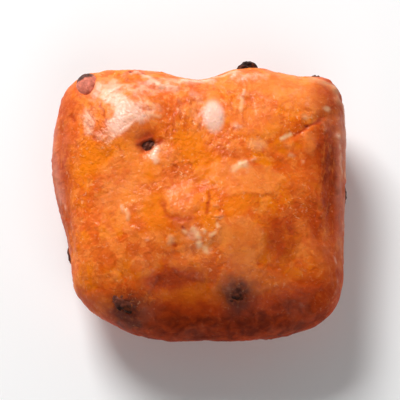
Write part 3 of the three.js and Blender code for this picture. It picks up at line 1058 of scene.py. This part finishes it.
@dataclass(frozen=True)
class Raisin:
    """One raisin: where it lies, seen from the waist's centre, and its length, width and thickness.

    `sunk` is how far its centre is below the skin, and `turn` how far it is turned in the skin,
    in degrees. `glazed` is how much glaze covers it, up to the side that `bare` points to, as
    an angle seen from above, and `lap` how far the skin laps over it. Sizes are in millimetres.
    """

    node: str
    toward: Triple
    size: Triple
    sunk: float
    turn: float
    glazed: float = 0.12
    bare: float = 0.0
    lap: float = 0.5
    rings: int = 72
    spokes: int = 96
    level_from: ClassVar[float] = 0.8  # a normal that rises by more than this counts as upright
    least_opening: ClassVar[float] = 0.1
    fold_depth: ClassVar[float] = 0.13
    fine_depth: ClassVar[float] = 0.10
    lump_height: ClassVar[float] = 0.05

    def place(self, pillow: Pillow) -> tuple[Array, Array]:
        """Where the raisin lies.

        Args:
            pillow: The dough that holds it.

        Returns:
            Its centre, and its length, width and thickness as the rows of a turn.
        """
        point, normal = (a[0] for a in pillow.skin(np.array([self.toward], float)))
        upright = abs(normal[2]) > self.level_from
        level = np.array([1.0, 0, 0]) if upright else np.cross([0, 0, 1.0], normal)
        level = level - normal * (level @ normal)
        level /= np.linalg.norm(level)
        angle = math.radians(self.turn)
        length = level * math.cos(angle) + np.cross(normal, level) * math.sin(angle)
        return point - normal * self.sunk, np.stack([length, np.cross(normal, length), normal])

    def mouth(self) -> Pair:
        """Half sizes of the pocket's opening: the raisin's section under the lapping skin, grown.

        Glaze closes the gap round the raisin.
        """
        gap = 0.5 * (1 - self.glazed)
        depth = (self.sunk + self.lap) / (self.size[2] / 2 + gap)
        cut = math.sqrt(max(1 - depth**2, self.least_opening))
        return (self.size[0] / 2 + gap) * cut, (self.size[1] / 2 + gap) * cut

    def ball(self) -> tuple[Array, Array]:
        """A unit ball with its poles at the raisin's ends: points and triangles turned outwards."""
        t = np.linspace(0, math.pi, self.rings + 1)[1:-1]
        s = np.arange(self.spokes) * 2 * math.pi / self.spokes
        tt, ss = np.meshgrid(t, s, indexing="ij")
        around = np.stack([np.cos(tt), np.sin(tt) * np.cos(ss), np.sin(tt) * np.sin(ss)], axis=-1)
        way = np.concatenate([around.reshape(-1, 3), [[1.0, 0, 0], [-1.0, 0, 0]]])
        rows = np.arange((self.rings - 1) * self.spokes).reshape(self.rings - 1, self.spokes)
        a, b = rows[:-1], rows[1:]
        quads = np.stack([a, b, np.roll(b, -1, 1), np.roll(a, -1, 1)], axis=-1).reshape(-1, 4)
        first, last = np.full(self.spokes, rows.size), np.full(self.spokes, rows.size + 1)
        caps = np.concatenate([
            np.stack([first, rows[0], np.roll(rows[0], -1)], axis=-1),
            np.stack([last, np.roll(rows[-1], -1), rows[-1]], axis=-1),
        ])
        return way, np.concatenate([quads[:, [0, 1, 2]], quads[:, [0, 2, 3]], caps])

    def build(self, pillow: Pillow, number: int, shift: Array) -> bpy.types.Object:
        """Make the wrinkled raisin.

        The ball is drawn in by folds that run lengthwise and wander: deep ones by |sin| of the
        turn round its length, and shallow ones by ridged noise. Glaze fills the folds.

        Args:
            pillow: The dough that holds it.
            number: Its place in the list, which shifts its wrinkles.
            shift: From the waist's centre to the frame's origin, in millimetres.

        Returns:
            The mesh object.
        """
        way, triangles = self.ball()
        noise = GradientNoise(Seed.RAISINS + number)
        girth = np.sqrt(np.clip(1 - way[:, 0] ** 2, 0, 1))
        turn = np.arctan2(way[:, 2], way[:, 1]) + 0.7 * np.sin(2.2 * way[:, 0] + number)
        turn = turn + 0.9 * noise.layered(way, 0.8, 2)
        folds = np.abs(np.sin(3.5 * turn + number)) ** 0.7
        folds = folds + 0.5 * np.sin(2 * turn - 2 * way[:, 0] + 2 * number)
        fine = noise.ridged(way, (0.9, 0.34, 0.34))
        depth = 1 - 0.85 * self.glazed
        lumps = noise.layered(way * np.array([1.0, 1.6, 1.6]), 0.5, 2)
        drawn_in = girth * (self.fold_depth * (1 - folds) + self.fine_depth * fine)
        shrink = 1 - depth * drawn_in + self.lump_height * lumps
        local = way * shrink[:, None] * np.array(self.size) / 2
        centre, turned = self.place(pillow)
        angle = math.radians(self.bare)
        side = (way @ turned)[:, :2] @ np.array([math.cos(angle), math.sin(angle)]) + 0.25 * lumps
        glaze = self.glazed * smooth_step(0.62, 0.42, side) + 0.15 * fine * self.glazed
        points = (local @ turned + centre + shift) * MM
        made = mesh_object(f"{self.node}_skin", points, triangles, {"glaze": np.clip(glaze, 0, 1)})
        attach(made, "root")
        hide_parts(self.node)
        return made


# The raisins, from the face round the far and near edges to the walls and the underside.
RAISINS: tuple[Raisin, ...] = (
    Raisin("raisin_face", (-15.5, 12.0, 19.0), (9, 7, 6), 2.7, 5),
    Raisin("raisin_far_left", (-34.8, 35.4, 11), (10.5, 7.5, 6.5), 1.6, 70, 1.0, 115, 0.0),
    Raisin("raisin_far_rim", (14.8, 41.5, 7.5), (7, 5.5, 6), 1.0, 5, 0.0),
    Raisin("raisin_far_right", (36.8, 38.8, 3.5), (9, 6, 5.5), 2.2, -20),
    Raisin("raisin_near_left", (-23, -37.6, 9.2), (12, 8, 6), 2.5, -12, 0.18, -90, 1.2),
    Raisin("raisin_near_right", (11.8, -34.8, 13), (10, 9, 6), 2.6, 30, 0.18, -90, 1.2),
    Raisin("raisin_left_high", (-43, 19, -5), (9, 6, 5.5), 2.0, 80),
    Raisin("raisin_left_low", (-43.5, -15, -9), (11, 7, 6), 2.3, 15),
    Raisin("raisin_right_high", (43, 3, -2), (11, 7.5, 6), 2.0, 65),
    Raisin("raisin_right_low", (42, -25, -6), (9.5, 7, 6), 2.3, -30),
    Raisin("raisin_far_low", (-14, 42, -6), (11, 7, 6), 2.0, 12),
    Raisin("raisin_near_low", (24, -41, -4), (10.5, 7, 6), 2.3, -10),
    Raisin("raisin_under_left", (-31, 12, -16), (10, 7.5, 6), 2.6, 40),
    Raisin("raisin_under_right", (30, 20, -16), (11, 7, 6), 2.6, -55),
)


# ---- The dough ----


@dataclass
class Dough:
    """The doughnut's one piece of dough, with its glaze in its skin. Sizes are in millimetres."""

    pillow: Pillow
    raisins: tuple[Raisin, ...]
    cells: tuple[int, int, int] = (170, 166, 62)
    lip_height: float = 0.15
    lip_at: float = 1.3
    pucker_height: float = 0.10
    pucker_at: float = 1.7
    pocket_depth: float = 1.5
    under_raisin: float = 2.2
    blisters: int = 420
    blister_rise: float = 0.24
    give: float = 0.5
    shift: Array = field(init=False)

    def shape(self) -> tuple[Array, Array, dict[str, Array]]:
        """Work out the skin.

        Each direction of a gridded cube is carried out to the pillow's skin, and moved along
        the normal by the fine relief: lips and pockets of the raisins, blisters, wrinkles and
        glaze. What would lie below the underside is pressed flat, and its dents stay.

        Returns:
            Points in millimetres about the waist's centre, faces, and attributes.
        """
        grid, faces = cube_grid(*self.cells, lean=0.35)
        directions = grid * self.pillow.half_axes(grid[:, 2])
        points, normals = self.pillow.skin(directions)
        pockets = self.pockets(points)
        ragged = GradientNoise(Seed.RAGGED).moved(points, 3.0, 1.0)
        tones = self.tones(points, ragged)
        glaze = self.glaze_relief(points, ragged, tones)
        covered = sum(tones[tone] for tone in (Tone.FILM, Tone.SALMON, Tone.CREAM_AND_HIGHLIGHT, Tone.CLOUD_AND_SHEEN))
        crust = self.blister_relief(points) + self.wrinkles(points)
        fine = pockets + glaze + (1 - 0.55 * np.clip(covered, 0, 1)) * crust
        points = points + normals * fine[:, None]
        floor, give = -self.pillow.underside_drop, self.give
        low = points[:, 2] - floor
        pressed = np.where(low > give, low, np.maximum(low + give, 0) ** 2 / (4 * give))
        dents = np.maximum(-fine, 0) * smooth_step(give, -give, low)
        points[:, 2] = floor + pressed + dents
        return points, faces, {tone.value: values for tone, values in tones.items()}

    def pockets(self, points: Array) -> Array:
        """The skin round each raisin.

        With r for the distance from the pocket's middle over its half sizes, wavering with the
        angle, the skin puckers about r = pucker_at, rises to a lip about r = lip_at and drops
        inside r = 1.

        Args:
            points: Places on the skin.

        Returns:
            The relief.
        """
        noise = GradientNoise(Seed.POCKETS)
        relief = np.zeros(len(points))
        for number, raisin in enumerate(self.raisins):
            centre, turned = raisin.place(self.pillow)
            local = (points - centre) @ turned.T
            mouth = raisin.mouth()
            angle = np.arctan2(local[:, 1] / mouth[1], local[:, 0] / mouth[0])
            waver = 1 + 0.16 * np.sin(2 * angle + number) + 0.10 * np.sin(3 * angle + 2.3 * number)
            r = np.hypot(local[:, 0] / mouth[0], local[:, 1] / mouth[1]) / waver
            near = smooth_step(raisin.size[2] + 3, raisin.size[2] / 2, np.abs(local[:, 2] - raisin.sunk))
            height = self.lip_height * (1 + 1.2 * np.sin(angle + 1.7 * number))
            lip = np.exp(-(((r - self.lip_at) / 0.28) ** 2)) * near
            folds = np.sin(7 * angle + 3 * noise.at(points, 5.0))
            pucker = folds * np.exp(-(((r - self.pucker_at) / 0.5) ** 2)) * near
            depth = max(self.pocket_depth, raisin.sunk - raisin.size[2] / 2 + self.under_raisin)
            hole = depth * near * smooth_step(1.06, 0.86, r)
            relief += height * lip + self.pucker_height * pucker - hole
        return relief

    def blister_relief(self, points: Array) -> Array:
        """Small blisters of the fried skin: domes h * (1 - (d / r)^2)^(1/2), scattered by seed."""
        draw = np.random.default_rng(Seed.BLISTERS)
        ways = draw.normal(size=(self.blisters, 3))
        centres, _ = self.pillow.skin(ways * np.array([1, 1, 0.55]))
        sizes = 0.45 + 0.9 * draw.random(self.blisters) ** 3
        relief = np.zeros(len(points))
        for centre, size in zip(centres, sizes):
            distance = np.linalg.norm(points - centre, axis=1)
            dome = np.sqrt(np.clip(1 - (distance / size) ** 2, 0, 1))
            relief = np.maximum(relief, self.blister_rise * size * dome)
        return relief

    def wrinkles(self, points: Array) -> Array:
        """Fine wrinkles of the skin: ridged and layered noise, stronger in patches."""
        noise = GradientNoise(Seed.WRINKLES)
        patch = smooth_step(-0.3, 0.35, noise.layered(points, 16.0, 2))
        worms = noise.ridged(noise.moved(points, 5.0, 1.6), 2.3, 2)
        soft = 0.42 * noise.layered(points - 30, 11.0, 3, 0.7)
        return soft - worms * (0.04 + 0.11 * patch)

    def glaze_relief(self, points: Array, ragged: Array, tones: dict[Tone, Array]) -> Array:
        """Beads, domes, rings and strokes of thick glaze, and the film with its thicker edge."""
        beads = sum(deposit.height(ragged) for deposit in DEPOSITS)
        domes = sum(patch.height(points) for patch in (BLISTER, *PATCHES) if patch.rise)
        rings = sum(swell.height(points) for swell in RINGS)
        strokes = np.zeros(len(points))
        for tone, turn in STROKE_TURNS.items():
            angle = math.radians(turn)
            along = points[:, 0] * math.cos(angle) + points[:, 1] * math.sin(angle)
            across = points[:, 1] * math.cos(angle) - points[:, 0] * math.sin(angle)
            turned = np.stack([along / 3, across, points[:, 2] / 3], axis=1)
            strokes += GradientNoise(Seed.STROKES).layered(turned, 1.6, 2) * tones[tone]
        film = tones[Tone.FILM]
        return beads + domes + rings + 0.28 * strokes + 0.16 * film + 0.6 * film * (1 - film)

    def tones(self, points: Array, ragged: Array) -> dict[Tone, Array]:
        """How much of each tone shows at each point.

        Patches and deposits come from the lists, and lie over each other as 1 - (1 - a)(1 - b).
        Film, milk, salmon and grain also follow layered noise all over. Toast, which is browning and
        painted shade, grows towards the near edge, both sides and the walls. The film is milky along its
        edge, and the milk, with its painted highlights and sheen, breaks up into islands.

        Args:
            points: Places on the skin.
            ragged: The same places, moved a little so that what is drawn on them is ragged.

        Returns:
            One array a tone, from 0 to 1.
        """
        noise = GradientNoise(Seed.TONES)
        wavering = noise.moved(ragged, 6.0, 1.8)
        x, y, z = points.T
        # Toast grows towards the walls, the near edge and both sides: browning, and painted shade there.
        wall = 0.5 * smooth_step(7, -7, z)
        near = 0.3 * smooth_step(-22, -31, y) + 0.35 * smooth_step(-31, -43, y)
        right = 0.4 * smooth_step(28, 43, x)
        left = 0.42 * smooth_step(-35, -42, x)
        blotch = 0.25 * noise.layered(points - 70, 13.0, 3)
        base = {tone: np.zeros(len(points)) for tone in Tone}
        base[Tone.TOAST_AND_SHADE] = np.maximum(np.maximum(wall, near), np.maximum(right, left)) + blotch
        base[Tone.FILM] = 0.35 * smooth_step(0.10, 0.22, noise.layered(points, 12.0, 3))
        base[Tone.MILK_AND_SHEEN] = 0.12 * smooth_step(0.0, 0.5, noise.layered(points + 50, 14.0, 3))
        base[Tone.SALMON] = 0.5 * smooth_step(0.0, 0.2, noise.layered(points + 90, 12.0, 3))
        base[Tone.GRAIN] = 0.28 + 0.34 * smooth_step(0.0, 0.3, noise.layered(points + 30, 15.0, 2))
        shares = [(patch.tone, patch.share(wavering)) for patch in PATCHES]
        shares += [(deposit.tone, deposit.share(ragged)) for deposit in DEPOSITS]
        shares += [(BLISTER.tone, BLISTER.share(points))]
        for tone, share in shares:
            base[tone] = 1 - (1 - base[tone]) * (1 - share)
        film = np.clip(base[Tone.FILM], 0, 1)
        base[Tone.MILK_AND_SHEEN] = base[Tone.MILK_AND_SHEEN] + 0.6 * film * (1 - film) * (1 - wall)
        islands = 0.9 * noise.layered(points + 200, 2.6, 3) + base[Tone.MILK_AND_SHEEN] - 0.6
        base[Tone.MILK_AND_SHEEN] = base[Tone.MILK_AND_SHEEN] * (0.2 + 0.8 * smooth_step(-0.3, 0.12, islands))
        return {tone: np.clip(values, 0, 1) for tone, values in base.items()}

    def build(self) -> bpy.types.Object:
        """Make the dough's mesh, in the place of its solid."""
        points, faces, attributes = self.shape()
        low, high = (np.array(corner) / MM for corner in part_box("dough"))
        self.shift = (low + high) / 2 - (points.min(0) + points.max(0)) / 2
        self.shift[2] = low[2] - points[:, 2].min()
        made = mesh_object("glazed_dough", (points + self.shift) * MM, faces, attributes)
        made.data.materials.append(CrustFinish().material())
        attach(made, "root")
        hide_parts("dough")
        return made


# ---- Floor, lights and camera ----


@dataclass(frozen=True)
class Studio:
    """The plain pale floor, the soft lights and the camera. Sizes are in metres."""

    floor_half: float = 4.0
    camera_azimuth: float = 0.0
    camera_elevation: float = 70.0
    camera_distance: float = 0.60
    lens: float = 176.5

    def floor(self) -> bpy.types.Object:
        """A wide flat floor under the doughnut: four corners at height 0."""
        corners = np.array([[-1, -1, 0], [1, -1, 0], [1, 1, 0], [-1, 1, 0]], float) * self.floor_half
        made = mesh_object("floor", corners, np.array([[0, 1, 2, 3]]))
        made.data.materials.append(BoardFinish().material())
        return made

    def softbox(self, name: str, place: Triple, size: Pair, watts: float) -> None:
        """A rectangular soft light at `place`, pointing at the doughnut."""
        data = bpy.data.lights.new(name, "AREA")
        data.shape, data.size, data.size_y = "RECTANGLE", size[0], size[1]
        data.energy = watts
        lamp = bpy.data.objects.new(name, data)
        bpy.context.scene.collection.objects.link(lamp)
        way = Vector((0, 0, 0.02)) - Vector(place)
        lamp.matrix_world = Matrix.Translation(place) @ way.to_track_quat("-Z", "Y").to_matrix().to_4x4()

    def surrounding(self) -> None:
        """A surrounding that is white towards the far horizon, and dim overhead and behind."""
        world = bpy.data.worlds.new("surrounding")
        world.use_nodes = True
        tree = world.node_tree
        parts = tree.nodes.new("ShaderNodeSeparateXYZ")
        tree.links.new(tree.nodes.new("ShaderNodeTexCoord").outputs["Generated"], parts.inputs[0])
        product = tree.nodes.new("ShaderNodeMath")
        product.operation = "MULTIPLY"
        for socket, axis, ends in ((0, "Y", (-0.5, 0.8, 0.06, 1.0)), (1, "Z", (0.1, 0.7, 1.0, 0.12))):
            fade = tree.nodes.new("ShaderNodeMapRange")
            for name, number in zip(("From Min", "From Max", "To Min", "To Max"), ends):
                fade.inputs[name].default_value = number
            tree.links.new(parts.outputs[axis], fade.inputs["Value"])
            tree.links.new(fade.outputs["Result"], product.inputs[socket])
        tree.links.new(product.outputs[0], tree.nodes["Background"].inputs["Strength"])
        tree.nodes["Background"].inputs["Color"].default_value = (1, 1, 1, 1)
        bpy.context.scene.world = world

    def lights(self) -> None:
        """A key light from the far left, a fill from the near right and a pale surrounding."""
        self.softbox("key", (-0.43, 0.82, 0.77), (0.55, 0.55), 17.0)
        self.softbox("fill", (0.3, -0.9, 0.75), (1.0, 1.0), 5.2)
        self.surrounding()
        bpy.context.scene.view_settings.view_transform = "Standard"

    def camera(self) -> None:
        """A long lens that looks down on the doughnut from its near edge."""
        low, high = SOLID_BOX
        middle = (low + high) / 2
        azimuth, elevation = math.radians(self.camera_azimuth), math.radians(self.camera_elevation)
        level = math.cos(elevation)
        back = Vector((math.sin(azimuth) * level, -math.cos(azimuth) * level, math.sin(elevation)))
        data = bpy.data.cameras.new("camera")
        data.lens = self.lens
        data.clip_start, data.clip_end = 0.01, 20
        eye = bpy.data.objects.new("camera", data)
        bpy.context.scene.collection.objects.link(eye)
        turn = (-back).to_track_quat("-Z", "Y").to_matrix().to_4x4()
        eye.matrix_world = Matrix.Translation(middle + back * self.camera_distance) @ turn
        bpy.context.scene.camera = eye


def main() -> None:
    """Build the camera, the dough, its raisins and the studio, and report each piece."""
    logging.basicConfig(level=logging.INFO, format="%(name)s: %(message)s")
    studio = Studio()
    studio.camera()
    pillow = Pillow()
    dough = Dough(pillow, RAISINS)
    piece = dough.build()
    LOG.info("%s: %d faces", piece.name, len(piece.data.polygons))
    finish = RaisinFinish().material()
    for number, raisin in enumerate(RAISINS):
        piece = raisin.build(pillow, number, dough.shift)
        piece.data.materials.append(finish)
        LOG.info("%s: %d faces", piece.name, len(piece.data.polygons))
    studio.floor()
    studio.lights()


if __name__ == "__main__":
    main()
